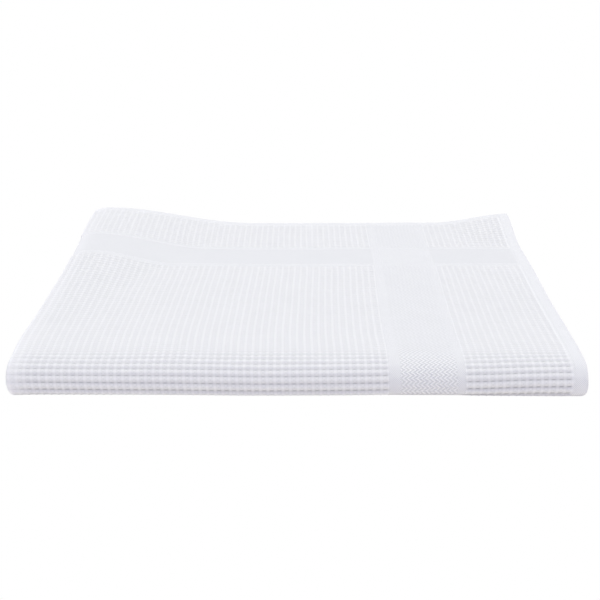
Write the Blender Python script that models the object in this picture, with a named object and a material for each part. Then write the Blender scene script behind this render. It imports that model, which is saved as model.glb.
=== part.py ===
"""A white waffle glass cloth, folded into a flat pad.

The cloth is one hemmed sheet. It is folded in half across its width, with that fold on the left and both side
hems on the right, and then in thirds along its length: the top flap runs forward from its hem at the back,
rolls over at the front, runs back as the bottom, turns up at the back and runs forward again as the inner
flap. That makes six plies, a little apart. The pad lies on Z = 0, with its front roll towards -Y.
"""

import math

import bmesh
import bpy
import numpy as np

# The sheet, laid flat, in metres: its length is measured along the outer of the two doubled plies
CLOTH_WIDTH = 0.503
CLOTH_LENGTH = 0.735
PLY = 0.0016

# The folded pad
PAD_WIDTH = CLOTH_WIDTH / 2
PAD_DEPTH = 0.2475
PLIES = 6
LEFT = -PAD_WIDTH / 2
RIGHT = PAD_WIDTH / 2
FRONT = -PAD_DEPTH / 2
BACK = PAD_DEPTH / 2

# The front roll: how far its upper and lower halves reach back, and the height of its foremost point
ROLL_UPPER_REACH = 0.0195
ROLL_LOWER_REACH = 0.0075
ROLL_NOSE_HEIGHT = 0.0072

# The back turn, which lies under the top flap's hem
TURN_REACH = 0.0064
TURN_SETBACK = 0.0012

# The height of the pad's top face: the front roll stands proud, the middle sags and the back rises
TOP_FACE = (
    # behind the front, height
    (0.0000, 0.0158),
    (0.0195, 0.0160),
    (0.0470, 0.0144),
    (0.0760, 0.0134),
    (0.1180, 0.0136),
    (0.1610, 0.0142),
    (0.2050, 0.0156),
    (0.2475, 0.0176),
)

# The back left corner, where the folds bulge: a ridge beside the left fold, fading towards the front
LEFT_LIFT = 0.0090
RIDGE_INSET = 0.0150
LEFT_CORNER = (
    # ahead of the back, share of the lift, reach to the right of the ridge
    (0.000, 1.00, 0.076),
    (0.050, 0.98, 0.045),
    (0.080, 0.82, 0.032),
    (0.130, 0.34, 0.024),
    (0.190, 0.00, 0.020),
)

# The back right corner, where the hemmed corner of the top flap curls up
RIGHT_LIFT = 0.0052
RIGHT_REACH = 0.046
RIGHT_FADE = 0.050

# How the lifts are shared: a power of a point's height in the stack
BULGE_SHARING = 1.5
CURL_SHARING = 3.0

# How far the side folds and side hems lie inside the pad's sides
SIDE_INSETS = (
    # along the cloth, left fold, outer ply's hem, inner ply's hem
    (0.00, 0.0042, 0.0024, 0.0034),
    (0.12, 0.0026, 0.0008, 0.0018),
    (0.22, 0.0002, 0.0002, 0.0012),
    (0.33, 0.0000, 0.0000, 0.0006),
    (0.40, 0.0006, 0.0004, 0.0018),
    (0.62, 0.0012, 0.0010, 0.0022),
    (0.70, 0.0022, 0.0026, 0.0012),
    (1.00, 0.0014, 0.0018, 0.0030),
)

# The pad's left and right ends are round from top to bottom
END_ROUNDING = 0.0013
END_ROUNDING_POWER = 4

# Steps along the cloth and across it
TOP_STEPS = 18
ROLL_STEPS = 7
BOTTOM_STEPS = 10
TURN_STEPS = 8
INNER_STEPS = 10
ACROSS_STEPS = 18
LOOP_STEPS = 8

COTTON_WHITE = (0.86, 0.87, 0.90, 1.0)
COTTON_ROUGHNESS = 0.9


def clear_scene():
    """Remove every object that the scene starts with."""
    for obj in list(bpy.data.objects):
        bpy.data.objects.remove(obj)


def along(table, column, at):
    """The smooth curve through one column of a table, read at places in its first column."""
    rows = np.array(table)
    places, values = rows[:, 0], rows[:, column]
    slopes = np.gradient(values, places)
    row = np.clip(np.searchsorted(places, at) - 1, 0, len(places) - 2)
    span = places[row + 1] - places[row]
    t = np.clip((at - places[row]) / span, 0.0, 1.0)
    start = (1 + 2 * t) * (1 - t) ** 2 * values[row] + t * (1 - t) ** 2 * span * slopes[row]
    end = t * t * (3 - 2 * t) * values[row + 1] - t * t * (1 - t) * span * slopes[row + 1]
    return start + end


def eased(share):
    """A smooth step from 0 to 1."""
    share = np.clip(share, 0.0, 1.0)
    return share * share * (3 - 2 * share)


def spread(start, end, steps):
    """Places from start to end, closer together towards both ends."""
    turn = np.linspace(0.0, math.pi, steps + 1)
    return start + (end - start) * (1 - np.cos(turn)) / 2


def ply_height(y, level):
    """The height of a ply's middle: level 0 is the lowest ply and level 5 the top one."""
    spacing = (along(TOP_FACE, 1, y - FRONT) - PLY) / (PLIES - 1)
    return PLY / 2 + level * spacing


def flap(places, level):
    """One ply of a flap: rows of (y, z)."""
    return np.column_stack([places, ply_height(places, level)])


def arc(centre, reach, rise, start, end, steps):
    """A quarter or half of an ellipse in the YZ plane, its angle in degrees from +Y towards +Z."""
    angles = np.radians(np.linspace(start, end, steps + 1))
    return np.column_stack([centre[0] + reach * np.cos(angles), centre[1] + rise * np.sin(angles)])


def front_roll(top_level, low_level, nose):
    """One ply of the front roll, from the top flap down to the bottom."""
    upper_y = FRONT + ROLL_UPPER_REACH
    lower_y = FRONT + ROLL_LOWER_REACH
    upper_rise = ply_height(upper_y, top_level) - ROLL_NOSE_HEIGHT
    lower_rise = ROLL_NOSE_HEIGHT - ply_height(lower_y, low_level)
    upper = arc((upper_y, ROLL_NOSE_HEIGHT), upper_y - nose, upper_rise, 90, 180, ROLL_STEPS)
    lower = arc((lower_y, ROLL_NOSE_HEIGHT), lower_y - nose, lower_rise, 180, 270, ROLL_STEPS)
    return np.vstack([upper[1:], lower[1:-1]])


def back_turn(low_level, high_level, reach):
    """One ply of the back turn, from the bottom up to the inner flap."""
    y = BACK - TURN_SETBACK - TURN_REACH
    low = ply_height(y, low_level)
    high = ply_height(y, high_level)
    half = arc((y, (low + high) / 2), reach, (high - low) / 2, -90, 90, TURN_STEPS)
    return half[1:-1]


def path_length(path):
    """The length of a path of (y, z) rows."""
    return float(np.linalg.norm(np.diff(path, axis=0), axis=1).sum())


def ply_paths():
    """The outer and the inner ply's paths of (y, z) down the length of the folded cloth."""
    top = spread(BACK, FRONT + ROLL_UPPER_REACH, TOP_STEPS)
    bottom = spread(FRONT + ROLL_LOWER_REACH, BACK - TURN_SETBACK - TURN_REACH, BOTTOM_STEPS)
    front_spacing = float(ply_height(FRONT + ROLL_UPPER_REACH, 1)) - PLY / 2
    back_spacing = float(ply_height(BACK, 1)) - PLY / 2
    nose = FRONT + PLY / 2
    turn_reach = TURN_REACH - PLY / 2
    outer = np.vstack([
        flap(top, 5),
        front_roll(5, 0, nose),
        flap(bottom, 0),
        back_turn(0, 3, turn_reach),
    ])
    inner = np.vstack([
        flap(top, 4),
        front_roll(4, 1, nose + front_spacing),
        flap(bottom, 1),
        back_turn(1, 2, turn_reach - back_spacing),
    ])
    left_over = CLOTH_LENGTH - path_length(outer)
    rest = spread(bottom[-1], bottom[-1] - left_over, INNER_STEPS)
    return np.vstack([outer, flap(rest, 3)]), np.vstack([inner, flap(rest, 2)])


def stack_share(y, z):
    """How high a point lies in the stack: 0 at the lowest ply and 1 at the top one."""
    return np.clip((z - PLY / 2) / (ply_height(y, PLIES - 1) - PLY / 2), 0.0, 1.0)


def corner_lift(x, y, share):
    """How far the bulge and the curl of the back corners raise a point."""
    ahead = np.maximum(BACK - y, 0.0)
    inward = np.maximum(x - LEFT, 0.0)
    ridge = np.sqrt(1 - (1 - np.minimum(inward / RIDGE_INSET, 1.0)) ** 2)
    falling = 1 - eased((inward - RIDGE_INSET) / along(LEFT_CORNER, 2, ahead))
    bulge = LEFT_LIFT * along(LEFT_CORNER, 1, ahead) * ridge * falling
    curl = RIGHT_LIFT * eased(1 - (RIGHT - x) / RIGHT_REACH) * eased(1 - ahead / RIGHT_FADE)
    return bulge * share**BULGE_SHARING + curl * share**CURL_SHARING


def across_the_cloth(outer, inner, run):
    """One line of points across the cloth: the outer ply, the loop of the side fold, the inner ply."""
    share = stack_share(outer[0], outer[1])
    rounding = END_ROUNDING * abs(2 * share - 1) ** END_ROUNDING_POWER
    left_inset, outer_inset, inner_inset = (float(along(SIDE_INSETS, column, run)) for column in (1, 2, 3))
    middle = (outer + inner) / 2
    half = (outer - inner) / 2
    loop_radius = float(np.linalg.norm(half))
    loop_x = LEFT + PLY / 2 + left_inset + rounding + loop_radius
    points = [(x, *outer) for x in spread(RIGHT - outer_inset - rounding, loop_x, ACROSS_STEPS)]
    for turn in np.linspace(0.0, math.pi, LOOP_STEPS + 1)[1:-1]:
        place = middle + half * math.cos(turn)
        points.append((loop_x - loop_radius * math.sin(turn), *place))
    points += [(x, *inner) for x in spread(loop_x, RIGHT - inner_inset - rounding, ACROSS_STEPS)]
    return np.array(points)


def folded_points():
    """The middle of the folded cloth: an array of lines along the cloth, points across it, and x, y, z."""
    outer, inner = ply_paths()
    lengths = np.linalg.norm(np.diff(outer, axis=0), axis=1)
    runs = np.concatenate([[0.0], np.cumsum(lengths)]) / lengths.sum()
    points = np.array([across_the_cloth(*line) for line in zip(outer, inner, runs)])
    x, y, z = points[..., 0], points[..., 1], points[..., 2]
    z += corner_lift(x, y, stack_share(y, z))
    return points


def cotton():
    """White cotton."""
    material = bpy.data.materials.new("white_cotton")
    material.use_nodes = True
    shader = material.node_tree.nodes["Principled BSDF"]
    shader.inputs["Base Color"].default_value = COTTON_WHITE
    shader.inputs["Roughness"].default_value = COTTON_ROUGHNESS
    shader.inputs["Metallic"].default_value = 0.0
    return material


def glass_cloth():
    """The cloth: a flat grid laid along the folds and given its thickness."""
    points = folded_points()
    lines, columns = points.shape[:2]
    work = bmesh.new()
    bmesh.ops.create_grid(work, x_segments=columns - 1, y_segments=lines - 1, size=1.0)
    for vert in work.verts:
        column = round((vert.co.x + 1) / 2 * (columns - 1))
        line = round((vert.co.y + 1) / 2 * (lines - 1))
        vert.co = points[line, column]
    mesh = bpy.data.meshes.new("cloth")
    work.to_mesh(mesh)
    work.free()
    mesh.shade_smooth()
    mesh.materials.append(cotton())
    cloth = bpy.data.objects.new("cloth", mesh)
    bpy.context.collection.objects.link(cloth)
    thickness = cloth.modifiers.new("thickness", "SOLIDIFY")
    thickness.thickness = PLY
    thickness.offset = 0.0
    thickness.use_even_offset = True
    return cloth


clear_scene()
glass_cloth()
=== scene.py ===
"""The looks of a white waffle glass cloth, folded in half and then in thirds into a flat pad.

The sheet is woven and hemmed flat, in waffle cells across and along the cloth, and then laid along its
folds. The waffle's ribs and hollows are in the mesh. The single yarns, the herringbone of the flat bands and
the hems' stitches are in the cotton's material.
"""

import logging
import math
from dataclasses import dataclass, field
from enum import Enum

import bmesh
import bpy
import numpy as np
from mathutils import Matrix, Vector


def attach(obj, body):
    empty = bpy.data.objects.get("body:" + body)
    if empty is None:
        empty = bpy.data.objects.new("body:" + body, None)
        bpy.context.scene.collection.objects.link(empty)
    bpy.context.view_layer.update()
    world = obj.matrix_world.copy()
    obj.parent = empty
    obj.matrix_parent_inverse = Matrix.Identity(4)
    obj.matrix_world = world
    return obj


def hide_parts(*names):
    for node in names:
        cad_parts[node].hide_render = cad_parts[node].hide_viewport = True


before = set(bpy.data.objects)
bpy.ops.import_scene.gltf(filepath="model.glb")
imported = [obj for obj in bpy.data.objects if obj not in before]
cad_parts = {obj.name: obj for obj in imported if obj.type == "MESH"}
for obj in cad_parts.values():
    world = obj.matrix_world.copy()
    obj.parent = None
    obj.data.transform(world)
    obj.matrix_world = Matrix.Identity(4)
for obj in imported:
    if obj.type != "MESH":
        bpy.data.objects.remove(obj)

LOG = logging.getLogger("glass_cloth")
CAD_NODE = "cloth"
MM = 0.001


class Fineness(Enum):
    """How many mesh steps a panel has for each waffle cell."""

    FINE = 6
    MEDIUM = 3
    PLAIN = 1


class Axis(Enum):
    """A direction in the cloth, from one of its hemmed edges to the other."""

    ACROSS = 0
    ALONG = 1


def eased(share: np.ndarray | float) -> np.ndarray:
    """A smooth step from 0 to 1.

    Args:
        share: Values, of which those outside 0 to 1 are cut back to it.

    Returns:
        The eased values.
    """
    share = np.clip(share, 0.0, 1.0)
    return share * share * (3 - 2 * share)


def along(table: tuple, column: int, at: np.ndarray | float) -> np.ndarray:
    """Read the smooth curve through one column of a table.

    Args:
        table: Rows of numbers, ordered by their first column.
        column: The column that the curve goes through.
        at: Places in the first column.

    Returns:
        The curve's value at each place.
    """
    rows = np.array(table)
    places, values = rows[:, 0], rows[:, column]
    slopes = np.gradient(values, places)
    row = np.clip(np.searchsorted(places, at) - 1, 0, len(places) - 2)
    span = places[row + 1] - places[row]
    t = np.clip((at - places[row]) / span, 0.0, 1.0)
    start = (1 + 2 * t) * (1 - t) ** 2 * values[row] + t * (1 - t) ** 2 * span * slopes[row]
    end = t * t * (3 - 2 * t) * values[row + 1] - t * t * (1 - t) * span * slopes[row + 1]
    return start + end


def arc(
    centre: tuple[float, float], reach: float, rise: float, angles: tuple[float, float], power: float = 2.0
) -> np.ndarray:
    """Points on an arc in the YZ plane.

    Args:
        centre: The arc's centre, as y and z.
        reach: Its half width along Y.
        rise: Its half height along Z.
        angles: The first and last angle in degrees, from +Y towards +Z.
        power: How square it is: 2 is an ellipse.

    Returns:
        Rows of y and z.
    """
    turns = np.radians(np.linspace(*angles, Fold.ARC_STEPS + 1))
    beside, above = (np.sign(part) * np.abs(part) ** (2 / power) for part in (np.cos(turns), np.sin(turns)))
    return np.column_stack([centre[0] + reach * beside, centre[1] + rise * above])


@dataclass(frozen=True)
class Layout:
    """The cloth's woven layout, counted in waffle cells inwards from each hemmed edge."""

    width: float = 0.503
    length: float = 0.735
    ply: float = 0.0016
    cells_across: float = 153.4
    cells_along: float = 240.0
    hem: float = 2.0
    border: float = 16.0
    band_across: float = 10.2
    band_along: float = 11.5
    outer_margin: float = 1.1
    inner_margin: float = 1.6
    core_steps: int = 4
    lines_by_fold: tuple = (-0.25, 0.0, 0.25)

    @property
    def column(self) -> float:
        """The width of a waffle cell."""
        return self.width / self.cells_across

    @property
    def row(self) -> float:
        """The length of a waffle cell."""
        return self.length / self.cells_along

    def cells(self, axis: Axis) -> float:
        """The number of cells over the whole cloth in one direction."""
        return self.cells_across if axis is Axis.ACROSS else self.cells_along

    def band(self, axis: Axis) -> tuple[float, float, float, float]:
        """The lines of the flat band that is met when going in one direction.

        Args:
            axis: The direction.

        Returns:
            The band's outer edge, its core's outer and inner edges, and its inner edge, in cells.
        """
        inner = self.border + (self.band_across if axis is Axis.ACROSS else self.band_along)
        return self.border, self.border + self.outer_margin, inner - self.inner_margin, inner

    def grid_lines(self, axis: Axis) -> np.ndarray:
        """The cell lines over the whole cloth in one direction, closer together at the side fold.

        Args:
            axis: The direction.

        Returns:
            Places in cells, from one edge of the cloth to the other.
        """
        outer, core_outer, core_inner, inner = self.band(axis)
        total = self.cells(axis)
        half_cell = 0.5
        border = np.arange(0.0, outer + half_cell)
        first = np.concatenate([border, np.linspace(core_outer, core_inner, self.core_steps + 1)])
        middle = np.arange(inner, total - inner + half_cell)
        lines = [first, middle, total - first]
        if axis is Axis.ACROSS:
            lines.append(total / 2 + np.array(self.lines_by_fold))
        return np.unique(np.round(np.concatenate(lines), 6))


@dataclass(frozen=True)
class Fold:
    """The folded pad: its plies, its front roll, its back turn and its raised corners."""

    ARC_STEPS = 90
    FLAP_STEPS = 400

    layout: Layout
    front: float = -0.1264
    back: float = 0.12375
    plies: int = 6
    # a ply's level in the top flap, in the bottom and in the inner flap
    outer_levels: tuple = (5, 0, 3)
    inner_levels: tuple = (4, 1, 2)
    roll_upper_reach: float = 0.0170
    roll_foot_reach: float = 0.0018
    roll_foot_rise: float = 0.0034
    roll_foot_power: float = 2.6
    turn_reach: float = 0.0064
    turn_setback: float = 0.0012
    loop_radius: float = 0.0015
    left_lift: float = 0.0090
    ridge_inset: float = 0.0150
    right_lift: float = 0.0058
    right_reach: float = 0.048
    right_fade: float = 0.050
    bulge_sharing: float = 1.5
    curl_sharing: float = 3.0
    end_rounding: float = 0.0013
    end_rounding_power: int = 4
    sideways_sway: float = 0.6
    forwards_sway: float = 0.8
    normal_step: float = 0.3 * MM
    top_face: tuple = (
        # behind the front, height
        (0.0000, 0.0158),
        (0.0195, 0.0160),
        (0.0470, 0.0144),
        (0.0760, 0.0134),
        (0.1180, 0.0136),
        (0.1610, 0.0142),
        (0.2050, 0.0156),
        (0.2475, 0.0176),
    )
    left_corner: tuple = (
        # ahead of the back, share of the lift, reach to the right of the ridge
        (0.000, 1.00, 0.084),
        (0.050, 0.98, 0.062),
        (0.080, 0.82, 0.046),
        (0.130, 0.34, 0.024),
        (0.190, 0.00, 0.020),
    )
    side_insets: tuple = (
        # along the cloth, left fold, outer ply's hem, inner ply's hem
        (0.00, 0.0042, 0.0024, 0.0034),
        (0.12, 0.0022, 0.0000, 0.0018),
        (0.20, -0.0006, -0.0008, 0.0010),
        (0.27, -0.0016, -0.0012, 0.0004),
        (0.33, 0.0000, 0.0000, 0.0006),
        (0.40, 0.0006, 0.0004, 0.0018),
        (0.62, 0.0012, 0.0010, 0.0022),
        (0.70, 0.0022, 0.0026, 0.0012),
        (1.00, 0.0014, 0.0018, 0.0030),
    )
    row_drift: tuple = (
        # across the cloth from its outer side hem, how far the rows run on along it in mm
        (0.00, -0.2),
        (0.05, 0.1),
        (0.09, 0.8),
        (0.20, 1.9),
        (0.28, 2.2),
        (0.36, 1.9),
        (0.42, 1.6),
        (0.50, 1.4),
        (1.00, 1.4),
    )
    ripples: tuple = (
        # reach sideways, forwards and upwards in mm, then turns across and along the cloth, then phase
        (0.10, 0.14, 0.16, 2.6, 1.9, 0.3),
        (0.12, 0.10, 0.10, 5.3, 4.1, 2.1),
        (0.07, 0.08, 0.06, 9.7, 8.9, 4.4),
    )

    @property
    def left(self) -> float:
        """The pad's left side."""
        return -self.layout.width / 4

    @property
    def right(self) -> float:
        """The pad's right side."""
        return self.layout.width / 4

    @property
    def turn_y(self) -> float:
        """Where the back turn starts."""
        return self.back - self.turn_setback - self.turn_reach

    def ply_height(self, y: np.ndarray | float, level: float) -> np.ndarray:
        """The height of a ply's middle.

        Args:
            y: Places from front to back.
            level: The ply, from 0 for the lowest to 5 for the top one.

        Returns:
            The height at each place.
        """
        ply = self.layout.ply
        spacing = (along(self.top_face, 1, y - self.front) - ply) / (self.plies - 1)
        return ply / 2 + level * spacing

    def flap(self, places: np.ndarray, level: float) -> np.ndarray:
        """One ply of a flap, as rows of y and z."""
        return np.column_stack([places, self.ply_height(places, level)])

    def front_roll(self, top_level: int, low_level: int, nose: float) -> np.ndarray:
        """One ply of the front roll, from the top flap down to the bottom.

        Args:
            top_level: The ply's level in the top flap.
            low_level: Its level in the bottom.
            nose: The y of its foremost point.

        Returns:
            Rows of y and z.
        """
        upper_y = self.front + self.roll_upper_reach
        lower_y = nose + self.roll_foot_reach
        nose_z = float(self.ply_height(lower_y, low_level)) + self.roll_foot_rise
        upper_rise = float(self.ply_height(upper_y, top_level)) - nose_z
        upper = arc((upper_y, nose_z), upper_y - nose, upper_rise, (90, 180))
        foot = (self.roll_foot_reach, self.roll_foot_rise)
        lower = arc((lower_y, nose_z), *foot, (180, 270), self.roll_foot_power)
        return np.vstack([upper[1:], lower[1:]])

    def back_turn(self, low_level: int, high_level: int, reach: float) -> np.ndarray:
        """One ply of the back turn, from the bottom up to the inner flap.

        Args:
            low_level: The ply's level in the bottom.
            high_level: Its level in the inner flap.
            reach: How far it stands out behind the turn's centre.

        Returns:
            Rows of y and z.
        """
        low = float(self.ply_height(self.turn_y, low_level))
        high = float(self.ply_height(self.turn_y, high_level))
        return arc((self.turn_y, (low + high) / 2), reach, (high - low) / 2, (-90, 90))[1:-1]

    def ply_path(self, levels: tuple[int, int, int], nose: float, reach: float) -> np.ndarray:
        """One ply's path, from the top flap's hem to the end of the back turn.

        Args:
            levels: The ply's level in the top flap, in the bottom and in the inner flap.
            nose: The y of its foremost point.
            reach: How far it stands out behind the back turn's centre.

        Returns:
            Rows of y and z.
        """
        top_level, low_level, high_level = levels
        top = np.linspace(self.back, self.front + self.roll_upper_reach, self.FLAP_STEPS)
        roll = self.front_roll(top_level, low_level, nose)
        bottom = np.linspace(roll[-1, 0], self.turn_y, self.FLAP_STEPS)[1:]
        turn = self.back_turn(low_level, high_level, reach)
        return np.vstack([self.flap(top, top_level), roll, self.flap(bottom, low_level), turn])

    def ply_paths(self) -> tuple[np.ndarray, np.ndarray, np.ndarray]:
        """The paths of the doubled cloth's two plies, down its length.

        Returns:
            The distance along the outer ply, and rows of y and z for the outer and the inner ply.
        """
        half_ply = self.layout.ply / 2
        front_spacing = float(self.ply_height(self.front + self.roll_upper_reach, 1)) - half_ply
        back_spacing = float(self.ply_height(self.back, 1)) - half_ply
        nose = self.front + half_ply
        reach = self.turn_reach - half_ply
        outer = self.ply_path(self.outer_levels, nose, reach)
        inner = self.ply_path(self.inner_levels, nose + front_spacing, reach - back_spacing)
        so_far = np.linalg.norm(np.diff(outer, axis=0), axis=1).sum()
        rest = np.linspace(self.turn_y, self.turn_y - (self.layout.length - so_far), self.FLAP_STEPS)
        outer = np.vstack([outer, self.flap(rest, self.outer_levels[-1])])
        inner = np.vstack([inner, self.flap(rest, self.inner_levels[-1])])
        steps = np.linalg.norm(np.diff(outer, axis=0), axis=1)
        return np.concatenate([[0.0], np.cumsum(steps)]), outer, inner

    def stack_share(self, y: np.ndarray, z: np.ndarray) -> np.ndarray:
        """How high points lie in the stack.

        Args:
            y: Places from front to back.
            z: Heights, before the corners are lifted.

        Returns:
            0 at the lowest ply and 1 at the top one.
        """
        lowest = self.layout.ply / 2
        return np.clip((z - lowest) / (self.ply_height(y, self.plies - 1) - lowest), 0.0, 1.0)

    def corner_lift(self, x: np.ndarray, y: np.ndarray, share: np.ndarray) -> np.ndarray:
        """How far the bulge and the curl of the back corners raise each point.

        Args:
            x: Places across the pad.
            y: Places from front to back.
            share: How high each point lies in the stack, from 0 to 1.

        Returns:
            The lift of each point.
        """
        ahead = np.maximum(self.back - y, 0.0)
        inward = np.maximum(x - self.left, 0.0)
        ridge = np.sqrt(1 - (1 - np.minimum(inward / self.ridge_inset, 1.0)) ** 2)
        falling = 1 - eased((inward - self.ridge_inset) / along(self.left_corner, 2, ahead))
        bulge = self.left_lift * along(self.left_corner, 1, ahead) * ridge * falling
        curl = eased(1 - (self.right - x) / self.right_reach) * eased(1 - ahead / self.right_fade)
        return bulge * share**self.bulge_sharing + self.right_lift * curl * share**self.curl_sharing

    def unevenness(self, across: np.ndarray, down: np.ndarray, share: np.ndarray) -> np.ndarray:
        """The slight waves of a cloth that was folded by hand.

        Args:
            across: Distances across the flat cloth.
            down: Distances down the flat cloth.
            share: How high each point lies in the stack, from 0 to 1.

        Returns:
            How far each point is off its place, as rows of x, y and z.
        """
        moved = np.zeros((3, len(across)))
        for sideways, forwards, upwards, turns_across, turns_along, phase in self.ripples:
            wave = 2 * math.pi * (turns_across * across / self.layout.width) + phase
            crossing = 2 * math.pi * (turns_along * down / self.layout.length) - phase
            moved[0] += sideways * MM * np.sin(crossing + self.sideways_sway * np.sin(wave))
            moved[1] += forwards * MM * np.sin(wave + self.forwards_sway * np.sin(crossing))
            moved[2] += upwards * MM * np.sin(wave) * np.cos(crossing)
        moved[2] *= share
        return moved.T

    def middle(self, across: np.ndarray, down: np.ndarray) -> np.ndarray:
        """Where the middle of the sheet lies once it is folded.

        Args:
            across: Distances across the flat cloth from its outer side hem.
            down: Distances down the flat cloth from the top flap's hem.

        Returns:
            Rows of x, y and z.
        """
        distance, outer_path, inner_path = self.ply_paths()
        drift = along(self.row_drift, 1, across / self.layout.width) * MM
        drift *= np.sin(math.pi * np.clip(down / self.layout.length, 0.0, 1.0))
        run = (down + drift) * distance[-1] / self.layout.length
        outer, inner = (
            np.column_stack([np.interp(run, distance, values) for values in path.T])
            for path in (outer_path, inner_path)
        )
        half = (outer - inner) / 2
        radius = np.linalg.norm(half, axis=1)
        rounding = self.stack_share(outer[:, 0], outer[:, 1])
        rounding = self.end_rounding * np.abs(2 * rounding - 1) ** self.end_rounding_power
        fold_inset, outer_inset, inner_inset = (
            along(self.side_insets, column, down / self.layout.length) for column in (1, 2, 3)
        )
        loop_x = self.left + self.layout.ply / 2 + fold_inset + rounding + radius
        outer_x = self.right - outer_inset - rounding
        inner_x = self.right - inner_inset - rounding
        loop_length = math.pi * self.loop_radius
        side_length = (self.layout.width - loop_length) / 2
        out_share = np.clip(across / side_length, 0.0, 1.0)
        turn = np.pi * np.clip((across - side_length) / loop_length, 0.0, 1.0)
        in_share = np.clip((across - side_length - loop_length) / side_length, 0.0, 1.0)
        x = outer_x + (loop_x - outer_x) * out_share - radius * np.sin(turn) + (inner_x - loop_x) * in_share
        y, z = ((outer + inner) / 2 + half * np.cos(turn)[:, None]).T
        share = self.stack_share(y, z)
        lifted = np.column_stack([x, y, z + self.corner_lift(x, y, share)])
        return lifted + self.unevenness(across, down, share)

    def place(self, across: np.ndarray, down: np.ndarray, out: np.ndarray) -> np.ndarray:
        """Lay points of the flat cloth along the folds.

        Args:
            across: Distances across the flat cloth.
            down: Distances down the flat cloth.
            out: Distances from the middle of the sheet towards its outer face.

        Returns:
            Rows of x, y and z.
        """
        step = self.normal_step
        side = self.middle(across + step, down) - self.middle(across - step, down)
        length = self.middle(across, down + step) - self.middle(across, down - step)
        normal = np.cross(side, length)
        normal /= np.linalg.norm(normal, axis=1)[:, None]
        return self.middle(across, down) + normal * out[:, None]


@dataclass(frozen=True)
class Relief:
    """The relief of the cloth's outer face, below the tops of its ribs."""

    layout: Layout
    hollow_depth: float = 0.70 * MM
    rib_half_width: float = 0.28
    ridge_half_width: float = 0.50
    ridge_height: float = 0.88
    band_depth: float = 0.45 * MM
    hem_depth: float = 0.15 * MM
    zone_blend: float = 0.15
    hem_blend: float = 0.60
    edge_round: float = 0.5
    edge_drop: float = 0.40 * MM
    fold_flattening: float = 0.85
    fold_reach: float = 2.0
    rib_dip: float = 0.50
    foot_deepening: float = 0.62
    foot_row: float = 83.9
    foot_rows: float = 2.6

    def from_edge(self, place: np.ndarray, axis: Axis) -> np.ndarray:
        """The distance in cells to the nearer edge of the cloth in one direction."""
        return np.minimum(place, self.layout.cells(axis) - place)

    def waffle_share(self, edge: np.ndarray, axis: Axis) -> np.ndarray:
        """How far each place lies in the waffle, by its distance from the edge.

        Args:
            edge: Distances from the edge, in cells.
            axis: The direction of the distances.

        Returns:
            1 in the waffle, 0 in a hem or a band, and a slope between them.
        """
        outer, _, _, inner = self.layout.band(axis)
        lines = ((self.layout.hem, self.hem_blend), (outer, self.zone_blend), (inner, self.zone_blend))
        past = [eased((edge - line) / blend + 0.5) for line, blend in lines]
        return past[0] - past[1] + past[2]

    def rise(self, edge: np.ndarray, axis: Axis, half_width: float) -> np.ndarray:
        """The rise of the ribs that one direction crosses.

        Args:
            edge: Distances from the edge, in cells.
            axis: The direction that crosses the ribs.
            half_width: Half the width of a rib at its foot, in cells.

        Returns:
            1 on the round top of a rib, falling to 0 at its foot.
        """
        inner = self.layout.band(axis)[3]
        place = np.where(edge > inner - 0.5, edge - inner, edge)
        off_rib = np.abs(place - np.round(place))
        return 1 - np.minimum(off_rib / half_width, 1.0) ** 2

    def depth(self, across: np.ndarray, down: np.ndarray) -> np.ndarray:
        """How deep the outer face lies below the tops of the ribs.

        Args:
            across: Places across the cloth, in cells.
            down: Places down the cloth, in cells.

        Returns:
            The depth in metres at each place.
        """
        side = self.from_edge(across, Axis.ACROSS)
        end = self.from_edge(down, Axis.ALONG)
        rib = self.rise(side, Axis.ACROSS, self.rib_half_width)
        ridge = self.rise(end, Axis.ALONG, self.ridge_half_width)
        rib *= 1 - self.rib_dip * (1 - ridge)
        waffle = self.waffle_share(side, Axis.ACROSS) * self.waffle_share(end, Axis.ALONG)
        nearest = np.minimum(side, end)
        in_hem = 1 - eased((nearest - self.layout.hem) / self.hem_blend + 0.5)
        flat = self.band_depth + (self.hem_depth - self.band_depth) * in_hem
        off_fold = (across - self.layout.cells_across / 2) / self.fold_reach
        hollow = self.hollow_depth * (1 - np.maximum(rib, self.ridge_height * ridge))
        hollow *= 1 - self.fold_flattening * np.exp(-(off_fold**2))
        hollow *= 1 + self.foot_deepening * np.exp(-(((down - self.foot_row) / self.foot_rows) ** 2))
        edge = self.edge_drop * (1 - np.minimum(nearest / self.edge_round, 1.0)) ** 2
        return waffle * hollow + (1 - waffle) * flat + edge


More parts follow.
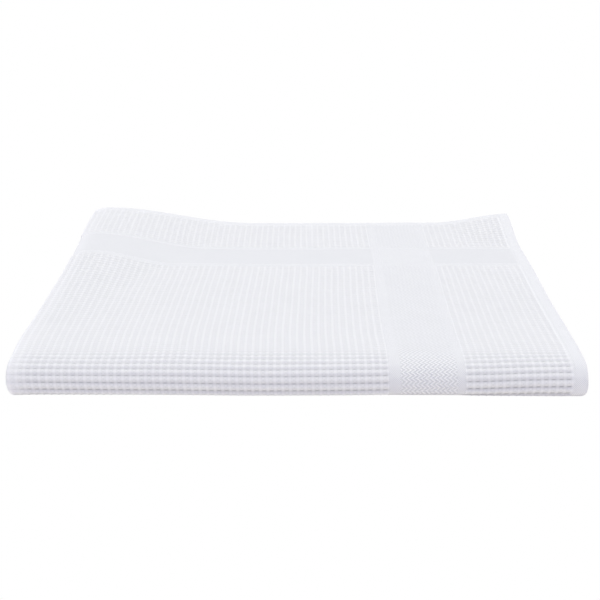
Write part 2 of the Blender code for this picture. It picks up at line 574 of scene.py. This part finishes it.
@dataclass
class Panel:
    """A part of the one sheet, which is woven in one piece and only meshed in several."""

    # how near to the panel's edge a cell line is left out, in cells
    NEAR_EDGE = 0.01

    name: str
    across: tuple[float, float]
    down: tuple[float, float]
    fineness: Fineness

    def lines(self, axis: Axis, layout: Layout) -> np.ndarray:
        """The cell lines of the panel in one direction, from one of its edges to the other.

        Args:
            axis: The direction.
            layout: The cloth's layout.

        Returns:
            Places in cells.
        """
        first, last = self.across if axis is Axis.ACROSS else self.down
        every = layout.grid_lines(axis)
        inside = every[(every > first + self.NEAR_EDGE) & (every < last - self.NEAR_EDGE)]
        return np.concatenate([[first], inside, [last]])

    def flat_size(self, layout: Layout) -> tuple[float, float]:
        """The panel's width and length, laid flat."""
        width = (self.across[1] - self.across[0]) * layout.column
        return width, (self.down[1] - self.down[0]) * layout.row

    def weave(self, layout: Layout) -> bpy.types.Mesh:
        """Make the panel as a flat slab in cells, with its outer face finely stepped.

        Args:
            layout: The cloth's layout.

        Returns:
            A mesh whose x and y are cells across and down the cloth, with z at 1 outside and -1 inside.
        """
        columns, rows = self.lines(Axis.ACROSS, layout), self.lines(Axis.ALONG, layout)
        work = bmesh.new()
        bmesh.ops.create_grid(work, x_segments=len(columns) - 1, y_segments=len(rows) - 1, size=1.0)
        for vert in work.verts:
            column = round((vert.co.x + 1) / 2 * (len(columns) - 1))
            row = round((vert.co.y + 1) / 2 * (len(rows) - 1))
            vert.co = (columns[column], rows[row], -1.0)
        raised = bmesh.ops.extrude_face_region(work, geom=work.faces[:])["geom"]
        for vert in (part for part in raised if isinstance(part, bmesh.types.BMVert)):
            vert.co.z = 1.0
        outer = [part for part in raised if isinstance(part, bmesh.types.BMFace)]
        for face in work.faces:
            face.smooth = True
            if len({round(vert.co.z) for vert in face.verts}) == 2:
                for edge in face.edges:
                    edge.smooth = False
        if self.fineness is not Fineness.PLAIN:
            edges = list({edge for face in outer for edge in face.edges})
            bmesh.ops.subdivide_edges(work, edges=edges, cuts=self.fineness.value - 1, use_grid_fill=True)
        bmesh.ops.recalc_face_normals(work, faces=work.faces[:])
        mesh = bpy.data.meshes.new(self.name)
        work.to_mesh(mesh)
        work.free()
        return mesh


@dataclass
class GlassCloth:
    """The cloth: one hemmed sheet of waffle, folded into a pad."""

    layout: Layout = field(default_factory=Layout)
    panels: tuple[Panel, ...] = (
        Panel("top_flap", (21.0, 77.7), (0.0, 45.5), Fineness.FINE),
        Panel("front_roll", (21.0, 77.7), (45.5, 87.5), Fineness.FINE),
        Panel("hem_border", (0.0, 21.0), (0.0, 87.5), Fineness.FINE),
        Panel("underside", (0.0, 77.7), (87.5, 162.5), Fineness.MEDIUM),
        Panel("inner_flap", (0.0, 77.7), (162.5, 240.0), Fineness.MEDIUM),
        Panel("inner_plies", (77.7, 153.4), (0.0, 240.0), Fineness.PLAIN),
    )
    # The hollow share given to the inner face, which sets only its painted shade in the hollows
    inner_face_hollow_shade: float = 0.5

    def __post_init__(self) -> None:
        """Work out the folds and the relief from the layout."""
        self.fold = Fold(self.layout)
        self.relief = Relief(self.layout)

    def lay_folded(self, mesh: bpy.types.Mesh) -> None:
        """Give a flat panel its relief and lay it along the folds.

        Args:
            mesh: The flat slab, which is changed in place.
        """
        flat = np.empty(len(mesh.vertices) * 3, np.float32)
        mesh.vertices.foreach_get("co", flat)
        across, down, side = flat.reshape(-1, 3).astype(float).T
        depth = self.relief.depth(across, down)
        half_ply = self.layout.ply / 2
        out = np.where(side > 0, half_ply - depth, -half_ply)
        folded = self.fold.place(across * self.layout.column, down * self.layout.row, out)
        mesh.vertices.foreach_set("co", folded.astype(np.float32).ravel())
        # The hollow share of each point drives the painted shade in the waffle's hollows
        hollow = mesh.attributes.new("hollow", "FLOAT", "POINT")
        shade = np.where(side > 0, depth / self.relief.hollow_depth, self.inner_face_hollow_shade)
        hollow.data.foreach_set("value", shade.astype(np.float32))
        corners = np.empty(len(mesh.loops), np.int32)
        mesh.loops.foreach_get("vertex_index", corners)
        flat_map = mesh.uv_layers.new(name="flat_cloth")
        places = np.column_stack([across * self.layout.column, down * self.layout.row]) / self.layout.length
        flat_map.uv.foreach_set("vector", places[corners].astype(np.float32).ravel())
        mesh.update()

    def build(self, cotton: bpy.types.Material) -> list[bpy.types.Object]:
        """Args:
            cotton: The material of the whole cloth.

        Returns:
            The finished panels.
        """
        pieces = []
        for panel in self.panels:
            mesh = panel.weave(self.layout)
            self.lay_folded(mesh)
            mesh.materials.append(cotton)
            piece = bpy.data.objects.new(panel.name, mesh)
            bpy.context.scene.collection.objects.link(piece)
            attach(piece, "root")
            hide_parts(CAD_NODE)
            pieces.append(piece)
            triangles = sum(len(face.vertices) - 2 for face in mesh.polygons)
            LOG.info("%s: %d triangles", panel.name, triangles)
        for panel, piece in zip(self.panels, pieces):
            panel.flat_size(self.layout)
        return pieces


class Graph:
    """A node tree that is filled by short calls."""

    # The Mix node's sockets for the share and the two colours, and for the mixed colour
    MIX_INPUTS = (0, 6, 7)
    MIX_OUTPUT = 2

    def __init__(self, tree: bpy.types.NodeTree) -> None:
        """Take a tree to fill."""
        self.tree = tree

    def node(self, kind: str, **settings: object) -> bpy.types.Node:
        """Add a node.

        Args:
            kind: The node's type, without its Shader prefix.
            settings: Attributes to set on it.

        Returns:
            The new node.
        """
        node = self.tree.nodes.new(kind if kind.startswith("Node") else "ShaderNode" + kind)
        for name, value in settings.items():
            setattr(node, name, value)
        return node

    def feed(self, socket: bpy.types.NodeSocket, value: object) -> None:
        """Link a socket to another one, or give it a value.

        Args:
            socket: The socket to fill.
            value: The other socket, or the value.
        """
        if isinstance(value, bpy.types.NodeSocket):
            self.tree.links.new(value, socket)
        else:
            socket.default_value = value

    def fill(self, node: bpy.types.Node, inputs: dict[str, object]) -> None:
        """Feed some of a node's inputs.

        Args:
            node: The node.
            inputs: Sockets or values, by the inputs' names.
        """
        for label, value in inputs.items():
            self.feed(node.inputs[label], value)

    def maths(self, operation: str, *values: object) -> bpy.types.NodeSocket:
        """Work out a number.

        Args:
            operation: The operation's name.
            values: Its inputs, each a socket or a number.

        Returns:
            The result's socket.
        """
        node = self.node("Math", operation=operation)
        for socket, value in zip(node.inputs, values):
            self.feed(socket, value)
        return node.outputs[0]

    def past(self, place: object, line: float, blend: float) -> bpy.types.NodeSocket:
        """A mask of the places past a line.

        Args:
            place: The socket of the place.
            line: Where the line is.
            blend: The width over which the mask rises.

        Returns:
            The mask's socket, from 0 before the line to 1 past it.
        """
        node = self.node("MapRange", interpolation_type="SMOOTHSTEP")
        self.fill(node, {"Value": place, "From Min": line - blend / 2, "From Max": line + blend / 2})
        return node.outputs["Result"]

    def between(self, place: object, first: float, last: float, blend: float = 0.12) -> bpy.types.NodeSocket:
        """A mask of the places between two lines, from 0 outside to 1 inside."""
        return self.maths("SUBTRACT", self.past(place, first, blend), self.past(place, last, blend))

    def wave(self, phase: object) -> bpy.types.NodeSocket:
        """A round wave of a phase counted in turns, from 0 at whole turns to 1 halfway."""
        angle = self.maths("MULTIPLY", phase, 2 * math.pi)
        return self.maths("MULTIPLY_ADD", self.maths("COSINE", angle), -0.5, 0.5)

    def blended(self, share: object, first: object, second: object) -> bpy.types.NodeSocket:
        """Mix two colours.

        Args:
            share: The share of the second colour. Below 0 it moves the first one away from the second.
            first: The first colour.
            second: The second colour.

        Returns:
            The mixed colour's socket.
        """
        node = self.node("Mix", data_type="RGBA", clamp_factor=False)
        for place, value in zip(self.MIX_INPUTS, (share, first, second)):
            self.feed(node.inputs[place], value)
        return node.outputs[self.MIX_OUTPUT]

    def show_camera(self, lighting: bpy.types.Node, shown: bpy.types.Node, output: bpy.types.Node) -> None:
        """Give the camera one shader and all other rays another.

        Args:
            lighting: The shader that lights the scene.
            shown: The shader that the camera sees.
            output: The tree's output.
        """
        mix = self.node("MixShader")
        is_camera = self.node("LightPath").outputs["Is Camera Ray"]
        for socket, value in zip(mix.inputs, (is_camera, lighting.outputs[0], shown.outputs[0])):
            self.feed(socket, value)
        self.feed(output.inputs["Surface"], mix.outputs[0])


class NodeGroup(Graph):
    """A shader node group with named inputs and outputs."""

    def __init__(self, name: str, inputs: dict[str, object], outputs: tuple[str, ...]) -> None:
        """Make an empty group.

        Args:
            name: The group's name.
            inputs: The inputs' names and default values, a triple for a vector.
            outputs: The names of the outputs, which are all numbers.
        """
        super().__init__(bpy.data.node_groups.new(name, "ShaderNodeTree"))
        for label, value in inputs.items():
            kind = "NodeSocketVector" if isinstance(value, tuple) else "NodeSocketFloat"
            socket = self.tree.interface.new_socket(name=label, in_out="INPUT", socket_type=kind)
            socket.default_value = value
        for label in outputs:
            self.tree.interface.new_socket(name=label, in_out="OUTPUT", socket_type="NodeSocketFloat")
        self.entry = self.node("NodeGroupInput")
        self.exit = self.node("NodeGroupOutput")

    def given(self, label: str) -> bpy.types.NodeSocket:
        """The socket that brings an input into the group."""
        return self.entry.outputs[label]

    def give(self, label: str, value: bpy.types.NodeSocket) -> None:
        """Send a value to one of the group's outputs."""
        self.feed(self.exit.inputs[label], value)

    def place(self, graph: Graph, **values: object) -> bpy.types.Node:
        """Put the group into a tree.

        Args:
            graph: The tree.
            values: Its inputs by name, with underscores for spaces.

        Returns:
            The group's node there.
        """
        node = graph.node("Group", node_tree=self.tree)
        graph.fill(node, {label.replace("_", " ").title(): value for label, value in values.items()})
        return node


# The masks of the hems and of the side fold, in cells
HEM_MASK_BLEND = 0.5
FOLD_MASK_START = 2.0
FOLD_MASK_BLEND = 3.2


def weave_plan(layout: Layout) -> NodeGroup:
    """A group that reads the cloth's layout from its flat map.

    Args:
        layout: The cloth's layout.

    Returns:
        The group: cells from the nearer side and end, a mask of each kind of weave, and one of the side fold.
    """
    outputs = ("Side", "End", "Waffle", "Hem", "Long Band", "Cross Band", "Block", "Plain", "Fold")
    group = NodeGroup("weave_plan", {"Flat Map": (0.0, 0.0, 0.0)}, outputs)
    split = group.node("SeparateXYZ")
    group.feed(split.inputs[0], group.given("Flat Map"))
    edges = []
    for axis, size in ((Axis.ACROSS, layout.width), (Axis.ALONG, layout.length)):
        cells = layout.cells(axis)
        place = group.maths("MULTIPLY", split.outputs[axis.value], layout.length / size * cells)
        edges.append(group.maths("MINIMUM", place, group.maths("SUBTRACT", cells, place)))
    side, end = edges
    cores, bands, waffles = [], [], []
    for place, axis in ((side, Axis.ACROSS), (end, Axis.ALONG)):
        outer, core_outer, core_inner, inner = layout.band(axis)
        cores.append(group.between(place, core_outer, core_inner))
        bands.append(group.between(place, outer, inner))
        past_line = group.past(place, layout.hem, HEM_MASK_BLEND)
        waffles.append(group.maths("SUBTRACT", past_line, bands[-1]))
    past_hem = group.past(group.maths("MINIMUM", side, end), layout.hem, HEM_MASK_BLEND)
    waffle = group.maths("MULTIPLY", *waffles)
    block = group.maths("MULTIPLY", *cores)
    long_band = group.maths("MULTIPLY", cores[0], group.maths("SUBTRACT", past_hem, bands[1]))
    cross_band = group.maths("MULTIPLY", cores[1], group.maths("SUBTRACT", past_hem, bands[0]))
    woven = group.maths("ADD", group.maths("ADD", waffle, block), group.maths("ADD", long_band, cross_band))
    hem = group.maths("SUBTRACT", 1.0, past_hem)
    plain = group.maths("SUBTRACT", past_hem, woven)
    fold = group.past(side, layout.cells_across / 2 - FOLD_MASK_START, FOLD_MASK_BLEND)
    for label, value in zip(outputs, (side, end, waffle, hem, long_band, cross_band, block, plain, fold)):
        group.give(label, value)
    return group


@dataclass(frozen=True)
class WaffleFloats:
    """The waffle's yarns, which float beside the ribs in squares, one inside the other.

    Painted shade darkens the slanting gaps between the ribs, a painted shadow line runs along the middle of
    each row of hollows, and a painted highlight lightens the crests where ribs and ridges cross. Places are
    in cells from the nearest rib or ridge.
    """

    yarns: float = 8.0
    slants: float = 2.0
    past_border: float = 4.0
    shift_blend: float = 0.1
    crossover: float = 0.06
    rib_top: float = 0.15
    rib_foot: float = 0.20
    rib_blend: float = 0.16
    ridge_top: float = 0.20
    ridge_blend: float = 0.20
    # Where the painted shadow line lies in each row of hollows, and its share on the ribs
    line_start: float = 0.43
    line_blend: float = 0.08
    line_on_rib: float = 0.5
    # Painted shade between all yarns, a painted highlight on the crests (below 0), painted shade in the
    # slanting gaps and a painted shadow line
    base_gap_shade: float = 0.28
    crest_highlight: float = -0.25
    slanting_shade: float = 0.30
    line_shadow: float = 0.60

    def make(self, layout: Layout) -> NodeGroup:
        """Make the group for the yarns.

        Args:
            layout: The cloth's layout.

        Returns:
            The group: the yarns' height, from 0 between two yarns to 1 on one, and the painted shade of the
                gaps,
            less on the crests, where it is a painted highlight.
        """
        inputs = {"Side": 0.0, "End": 0.0, "Yarns": self.yarns, "Slants": self.slants}
        group = NodeGroup("waffle_floats", inputs, ("Height", "Gap Shade"))
        places = []
        for label, axis in (("Side", Axis.ACROSS), ("End", Axis.ALONG)):
            past_band = group.past(group.given(label), layout.border + self.past_border, self.shift_blend)
            shift = -(layout.band(axis)[3] % 1.0)
            places.append(group.maths("MULTIPLY_ADD", past_band, shift, group.given(label)))
        off_rib, off_ridge = (group.maths("PINGPONG", place, 0.5) for place in places)
        yarns = [group.wave(group.maths("MULTIPLY", place, group.given("Yarns"))) for place in places]
        nearer_rib = group.past(group.maths("SUBTRACT", off_ridge, off_rib), 0.0, self.crossover)
        weft = group.maths("MULTIPLY", yarns[1], group.maths("SUBTRACT", 1.0, nearer_rib))
        group.give("Height", group.maths("MULTIPLY_ADD", yarns[0], nearer_rib, weft))
        slopes = [group.maths(way, *places) for way in ("ADD", "SUBTRACT")]
        slants = [group.wave(group.maths("MULTIPLY", slope, group.given("Slants"))) for slope in slopes]
        between_slants = group.maths("SUBTRACT", 1.0, group.maths("MAXIMUM", *slants))
        beside_rib = group.past(off_rib, self.rib_foot, self.rib_blend)
        on_rib = group.maths("SUBTRACT", 1.0, group.past(off_rib, self.rib_top, self.rib_blend))
        on_ridge = group.maths("SUBTRACT", 1.0, group.past(off_ridge, self.ridge_top, self.ridge_blend))
        line_share = group.maths("MULTIPLY_ADD", beside_rib, 1.0 - self.line_on_rib, self.line_on_rib)
        line = group.maths("MULTIPLY", group.past(off_ridge, self.line_start, self.line_blend), line_share)
        crest = group.maths("MULTIPLY", on_rib, on_ridge)
        slanting = group.maths("MULTIPLY", between_slants, beside_rib)
        # Painted shade, lighter on the crests where the painted highlight lies, darker in the slanting gaps
        # and along the shadow line
        gap = group.maths("MULTIPLY_ADD", crest, self.crest_highlight, self.base_gap_shade)
        gap = group.maths("MULTIPLY_ADD", slanting, self.slanting_shade, gap)
        gap = group.maths("MULTIPLY_ADD", line, self.line_shadow, gap)
        group.give("Gap Shade", gap)
        return group


def herringbone() -> NodeGroup:
    """A group for herringbone: lines of strokes that lean one way and then the other.

    Returns:
        The group: the strokes' height, from 0 between two strokes to 1 on one.
    """
    inputs = {"Beside": 0.0, "Forward": 0.0, "Stroke": 0.617, "Line": 0.42, "Lean": 0.9}
    group = NodeGroup("herringbone", inputs, ("Height",))
    lines = group.maths("DIVIDE", group.given("Forward"), group.given("Line"))
    lean = group.maths("MULTIPLY", group.maths("PINGPONG", lines, 1.0), group.given("Lean"))
    phase = group.maths("ADD", group.maths("DIVIDE", group.given("Beside"), group.given("Stroke")), lean)
    group.give("Height", group.wave(phase))
    return group


def plain_weave() -> NodeGroup:
    """A group for plain weave, with yarns over and under each other in turn.

    Returns:
        The group: the weave's height, from 0 to 1.
    """
    group = NodeGroup("plain_weave", {"Side": 0.0, "End": 0.0, "Yarns": 8.0}, ("Height",))
    turns = group.maths("MULTIPLY", group.given("Yarns"), math.pi)
    warp = group.maths("SINE", group.maths("MULTIPLY", group.given("Side"), turns))
    weft = group.maths("SINE", group.maths("MULTIPLY", group.given("End"), turns))
    group.give("Height", group.maths("MULTIPLY_ADD", group.maths("MULTIPLY", warp, weft), 0.5, 0.5))
    return group


@dataclass(frozen=True)
class HemStitches:
    """The row of stitches that holds each hem, in cells."""

    length: float = 0.75
    inset: float = 0.3
    half_width: float = 0.12
    blend: float = 0.1
    gap: float = 0.3
    gap_blend: float = 0.4

    def make(self, layout: Layout) -> NodeGroup:
        """Make the group for the stitches.

        Args:
            layout: The cloth's layout.

        Returns:
            The group: how deep the cloth is drawn in, from 0 to 1.
        """
        group = NodeGroup("hem_stitches", {"Side": 0.0, "End": 0.0, "Length": self.length}, ("Depth",))
        row = layout.hem - self.inset
        depths = []
        for edge, run in (("Side", "End"), ("End", "Side")):
            line = group.between(group.given(edge), row - self.half_width, row + self.half_width, self.blend)
            inside = group.past(group.given(run), row, self.blend)
            turns = group.wave(group.maths("DIVIDE", group.given(run), group.given("Length")))
            stitch = group.past(turns, self.gap, self.gap_blend)
            depths.append(group.maths("MULTIPLY", group.maths("MULTIPLY", line, stitch), inside))
        group.give("Depth", group.maths("MAXIMUM", *depths))
        return group


def cotton_fuzz() -> NodeGroup:
    """A group for loose cotton fibres and uneven yarns.

    Returns:
        The group: the fibres' height, and a slow change of shade, both from 0 to 1.
    """
    inputs = {"Flat Map": (0.0, 0.0, 0.0), "Fibres": 1400.0, "Patches": 60.0}
    group = NodeGroup("cotton_fuzz", inputs, ("Height", "Shade"))
    for label, scale, detail in (("Height", "Fibres", 3.0), ("Shade", "Patches", 2.0)):
        noise = group.node("TexNoise")
        group.fill(noise, {"Vector": group.given("Flat Map"), "Scale": group.given(scale), "Detail": detail})
        group.give(label, noise.outputs["Fac"])
    return group


@dataclass(frozen=True)
class WhiteCotton:
    """Matt white cotton: waffle, herringbone bands, satin blocks and stitched hems, with painted shade and
    highlights.
    """

    colour: tuple = (0.88, 0.885, 0.91, 1.0)
    # Painted shade: the colour that the waffle's deepest hollows are darkened towards
    hollow_shade_colour: tuple = (0.80, 0.803, 0.82, 1.0)
    # Painted shade between the yarns and over each weave, together with random darker patches of the cotton
    patches_and_gap_shade: tuple = (0.60, 0.61, 0.63, 1.0)
    hollow_shade_power: float = 4.0
    roughness: float = 0.9
    roughness_range: float = 0.1
    specular: float = 0.25
    sheen: float = 0.15
    sheen_roughness: float = 0.5
    fuzz_height: float = 0.03 * MM
    stitch_depth: float = 0.12 * MM
    patchiness: float = 0.1
    # The share of the waffle floats' painted shade and painted highlight that goes into the colour
    floats_shade_share: float = 0.7
    # How much less painted shade lies near the side fold
    paler_at_fold: float = 0.35
    weaves: tuple = (
        # kind of weave, its yarns' height, the painted shade between them, the painted shade all over it
        # (below 0 paler)
        ("Waffle", 0.12 * MM, 0.10, 0.00),
        ("Long Band", 0.22 * MM, 0.60, 0.28),
        ("Cross Band", 0.12 * MM, 0.80, 0.40),
        ("Block", 0.072 * MM, 0.70, 0.36),
        ("Plain", 0.12 * MM, 1.40, -0.06),
        ("Hem", 0.12 * MM, 0.80, 0.12),
    )

    def dress(self, layout: Layout) -> bpy.types.Material:
        """Make the material.

        Args:
            layout: The cloth's layout.

        Returns:
            The cotton.
        """
        material = bpy.data.materials.new("white_cotton")
        material.use_nodes = True
        graph = Graph(material.node_tree)
        shader = material.node_tree.nodes["Principled BSDF"]
        flat_map = graph.node("UVMap", uv_map="flat_cloth").outputs["UV"]
        plan = weave_plan(layout).place(graph, flat_map=flat_map)
        side, end = plan.outputs["Side"], plan.outputs["End"]
        bones = herringbone()
        floats = WaffleFloats().make(layout).place(graph, side=side, end=end)
        plain = plain_weave().place(graph, side=side, end=end)
        made = {
            "Waffle": floats,
            "Long Band": bones.place(graph, beside=side, forward=end),
            "Cross Band": bones.place(graph, beside=end, forward=side, stroke=0.45, line=0.6),
            "Block": bones.place(graph, beside=side, forward=end, stroke=0.25, line=40.0, lean=60.0),
            "Plain": plain,
            "Hem": plain,
        }
        stitches = HemStitches().make(layout).place(graph, side=side, end=end)
        fuzz = cotton_fuzz().place(graph, flat_map=flat_map)
        height = graph.maths("MULTIPLY", fuzz.outputs["Height"], self.fuzz_height)
        # Random darker patches, then for each weave painted shade between its yarns and painted shade over
        # all of it
        gap = graph.maths("MULTIPLY", fuzz.outputs["Shade"], self.patchiness)
        for kind, rise, depth, overall_shade in self.weaves:
            mask = plan.outputs[kind]
            shown = graph.maths("MULTIPLY", made[kind].outputs["Height"], mask)
            height = graph.maths("MULTIPLY_ADD", shown, rise, height)
            gap = graph.maths("MULTIPLY_ADD", graph.maths("SUBTRACT", mask, shown), depth, gap)
            gap = graph.maths("MULTIPLY_ADD", mask, overall_shade, gap)
        # The waffle floats' painted shade, painted shadow lines and painted highlights on the crests
        slanting = graph.maths("MULTIPLY", floats.outputs["Gap Shade"], plan.outputs["Waffle"])
        gap = graph.maths("MULTIPLY_ADD", slanting, self.floats_shade_share, gap)
        height = graph.maths("MULTIPLY_ADD", stitches.outputs["Depth"], -self.stitch_depth, height)
        # Less painted shade near the side fold
        kept = graph.maths("MULTIPLY_ADD", plan.outputs["Fold"], -self.paler_at_fold, 1.0)
        gap = graph.maths("MINIMUM", graph.maths("MULTIPLY", gap, kept), 1.0)
        bump = graph.node("Bump")
        graph.fill(bump, {"Strength": 1.0, "Distance": 1.0, "Height": height})
        # Painted shade: the waffle's deepest hollows are darkened towards the hollow shade colour
        hollow = graph.node("Attribute", attribute_name="hollow").outputs["Fac"]
        hollow_shade = graph.maths("POWER", hollow, self.hollow_shade_power)
        hollow_shade = graph.maths("MULTIPLY", hollow_shade, plan.outputs["Waffle"])
        colour = graph.blended(hollow_shade, self.colour, self.hollow_shade_colour)
        smoothest = self.roughness - self.roughness_range / 2
        # The base colour is darkened by the painted shade in the hollows and between the yarns
        graph.fill(shader, {
            "Base Color": graph.blended(gap, colour, self.patches_and_gap_shade),
            "Roughness": graph.maths("MULTIPLY_ADD", fuzz.outputs["Shade"], self.roughness_range, smoothest),
            "Normal": bump.outputs["Normal"],
            "Specular IOR Level": self.specular,
            "Sheen Weight": self.sheen,
            "Sheen Roughness": self.sheen_roughness,
        })
        return material


@dataclass(frozen=True)
class Studio:
    """A white floor under soft light, and the camera."""

    floor_reach: float = 4.0
    floor_cells: int = 8
    floor_drop: float = 0.2 * MM
    floor_roughness: float = 0.9
    floor_colour: tuple = (1.0, 0.955, 0.89, 1.0)
    floor_glow: float = 0.075
    seen_colour: tuple = (1.0, 1.0, 1.0, 1.0)
    sky_colour: tuple = (0.715, 0.73, 1.0, 1.0)
    sky_strength: float = 0.74
    top_light_size: float = 2.0
    top_light_place: tuple = (0.0, 0.15, 1.6)
    top_light_power: float = 30.0
    top_light_colour: tuple = (1.0, 0.982, 0.74)
    camera_place: tuple = (0.0037, -0.7346, 0.2241)
    camera_down: float = 16.5
    camera_turn: float = 0.2
    camera_lens: float = 90.0
    camera_sensor: float = 36.0
    camera_range: tuple = (0.01, 50.0)

    def lay_floor(self) -> bpy.types.Object:
        """Make the floor.

        Returns:
            The floor's object.
        """
        work = bmesh.new()
        cells = self.floor_cells
        bmesh.ops.create_grid(work, x_segments=cells, y_segments=cells, size=self.floor_reach)
        bmesh.ops.translate(work, verts=work.verts[:], vec=Vector((0, 0, -self.floor_drop)))
        mesh = bpy.data.meshes.new("floor")
        work.to_mesh(mesh)
        work.free()
        material = bpy.data.materials.new("pale_floor")
        material.use_nodes = True
        graph = Graph(material.node_tree)
        shader = material.node_tree.nodes["Principled BSDF"]
        graph.fill(shader, {
            "Base Color": self.floor_colour,
            "Roughness": self.floor_roughness,
            "Specular IOR Level": 0.0,
            "Emission Color": self.floor_colour,
            "Emission Strength": self.floor_glow,
        })
        shown = graph.node("Emission")
        graph.fill(shown, {"Color": self.seen_colour})
        graph.show_camera(shader, shown, material.node_tree.nodes["Material Output"])
        mesh.materials.append(material)
        floor = bpy.data.objects.new("floor", mesh)
        bpy.context.scene.collection.objects.link(floor)
        return floor

    def light(self) -> None:
        """Hang the soft light over the cloth and set the sky."""
        world = bpy.data.worlds.new("soft_sky")
        world.use_nodes = True
        graph = Graph(world.node_tree)
        sky = world.node_tree.nodes["Background"]
        graph.fill(sky, {"Color": self.sky_colour, "Strength": self.sky_strength})
        shown = graph.node("Background")
        graph.fill(shown, {"Color": self.seen_colour})
        graph.show_camera(sky, shown, world.node_tree.nodes["World Output"])
        bpy.context.scene.world = world
        lamp = bpy.data.lights.new("top_light", "AREA")
        lamp.size = self.top_light_size
        lamp.energy = self.top_light_power
        lamp.color = self.top_light_colour
        hung = bpy.data.objects.new("top_light", lamp)
        hung.location = self.top_light_place
        bpy.context.scene.collection.objects.link(hung)
        bpy.context.scene.view_settings.view_transform = "Standard"

    def aim_camera(self) -> None:
        """Put the camera at the photograph's viewing angle."""
        lens = bpy.data.cameras.new("camera")
        lens.lens = self.camera_lens
        lens.sensor_width = self.camera_sensor
        lens.clip_start, lens.clip_end = self.camera_range
        camera = bpy.data.objects.new("camera", lens)
        camera.location = self.camera_place
        camera.rotation_euler = (math.radians(90 - self.camera_down), 0.0, math.radians(self.camera_turn))
        bpy.context.scene.collection.objects.link(camera)
        bpy.context.scene.camera = camera


def main() -> None:
    """Build the cloth and its studio."""
    logging.basicConfig(level=logging.INFO)
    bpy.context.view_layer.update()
    cloth = GlassCloth()
    pieces = cloth.build(WhiteCotton().dress(cloth.layout))
    LOG.info("cloth: %d panels", len(pieces))
    studio = Studio()
    LOG.info("laid %s", studio.lay_floor().name)
    studio.light()
    studio.aim_camera()
    bpy.context.view_layer.update()


if __name__ == "__main__":
    main()
